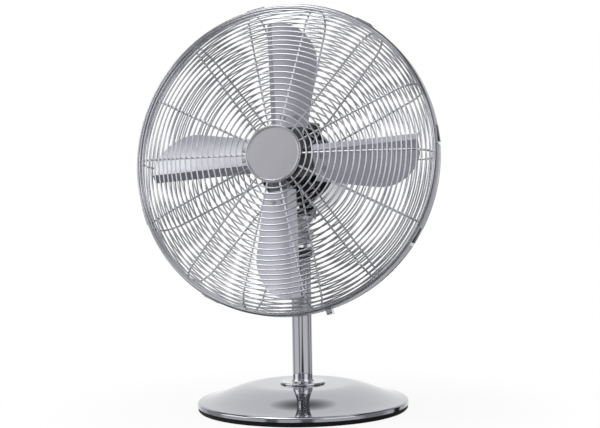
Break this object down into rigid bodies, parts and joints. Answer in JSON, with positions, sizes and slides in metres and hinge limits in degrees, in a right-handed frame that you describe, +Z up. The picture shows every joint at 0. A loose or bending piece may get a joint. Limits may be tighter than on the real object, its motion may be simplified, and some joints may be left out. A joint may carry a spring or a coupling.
{
  "type": "desk fan",
  "caption": "Chrome desk fan with a round weighted base, a pole, a tilting and swinging motor head, riveted sheet-metal blades and domed wire guards.",
  "frame": {"origin": "middle of the foot ring, on the surface that the fan stands on", "axes": "+Z up along the pole; the fan blows towards -Y, with the head at its rest tilt"},
  "size_m": [0.4411, 0.305, 0.5791],
  "materials": {
    "chrome": "polished chrome plate",
    "satin_band": "satin steel band",
    "blade_metal": "satin silver sheet",
    "badge_face": "fine satin disc",
    "hub_metal": "cast hub",
    "black_plastic": "fine moulded black",
    "black_paint": "black paint",
    "foot_rubber": "black rubber",
    "iron": "rough casting",
    "bottom_sheet": "black painted sheet",
    "zinc": "zinc-plated steel",
    "core_steel": "stacked sheet",
    "copper": "varnished copper wire",
    "bronze": "oiled bronze"
  },
  "bodies": {
    "stand": {"foot_ring": "foot_rubber", "base_plate": "bottom_sheet", "base_cover": "chrome", "base_weight": "iron", "plate_screws": "zinc", "base_washer": "zinc", "base_bolt": "zinc", "pole_plug": "zinc", "pole": "chrome", "pole_flange": "chrome", "pole_collar": "black_plastic", "neck_yoke": "black_paint", "tilt_nut": "zinc"},
    "clamp": {"tilt_bolt": "zinc", "tilt_knob": "black_plastic"},
    "neck": {"neck_head": "chrome", "thrust_washer": "zinc", "pivot_pin": "zinc", "pivot_clip": "zinc"},
    "head": {"pivot_bush": "bronze", "motor_bracket": "black_paint", "bracket_screws": "zinc", "front_bell": "black_paint", "rear_bell": "black_paint", "stator": "core_steel", "windings": "copper", "motor_bolts": "zinc", "front_bush": "bronze", "rear_bush": "bronze", "gear_case": "black_plastic", "speed_switch": "black_plastic", "cord_gland": "black_plastic", "motor_housing": "chrome", "housing_screws": "zinc", "front_guard": "chrome", "rear_guard": "chrome", "guard_nut": "black_plastic", "front_rings": "chrome", "rear_rings": "chrome", "front_shoulder_rings": "chrome", "rear_shoulder_rings": "chrome", "guard_ring": "satin_band", "ring_clips": "chrome", "ring_lock": "chrome", "lock_screw": "zinc", "clamp_disc": "zinc", "badge": "badge_face", "badge_bezel": "chrome", "badge_screws": "zinc"},
    "rotor": {"motor_shaft": "zinc", "rotor_core": "core_steel", "blade_1": "blade_metal", "blade_2": "blade_metal", "blade_3": "blade_metal", "blade_4": "blade_metal", "blade_hub": "hub_metal", "blade_rivets": "hub_metal"},
    "clutch": {"clutch_knob": "black_plastic"},
    "speed": {"speed_knob": "black_plastic"}
  },
  "joints": [
    {"name": "tilt", "type": "hinge", "parent": "stand", "child": "neck", "pos_m": [0, 0, 0.25], "axis": [-1, 0, 0], "range_deg": [-15, 15]},
    {"name": "swing", "type": "hinge", "parent": "neck", "child": "head", "pos_m": [0, 0, 0.25], "axis": [0, 0.1736, 0.9848], "range_deg": [-40, 40]},
    {"name": "blade_spin", "type": "hinge", "parent": "head", "child": "rotor", "pos_m": [0, -0.06433, 0.36085], "axis": [0, 0.9848, -0.1736], "continuous": true},
    {"name": "clutch_slide", "type": "slide", "parent": "head", "child": "clutch", "axis": [0, 0.1736, 0.9848], "range_m": [0, 0.006]},
    {"name": "speed_turn", "type": "hinge", "parent": "head", "child": "speed", "pos_m": [0, 0.08179, 0.31681], "axis": [0, 0.9848, -0.1736], "range_deg": [0, 135]},
    {"name": "clamp_turn", "type": "hinge", "parent": "stand", "child": "clamp", "pos_m": [0, 0, 0.25], "axis": [-1, 0, 0], "range_deg": [0, 180]}
  ]
}
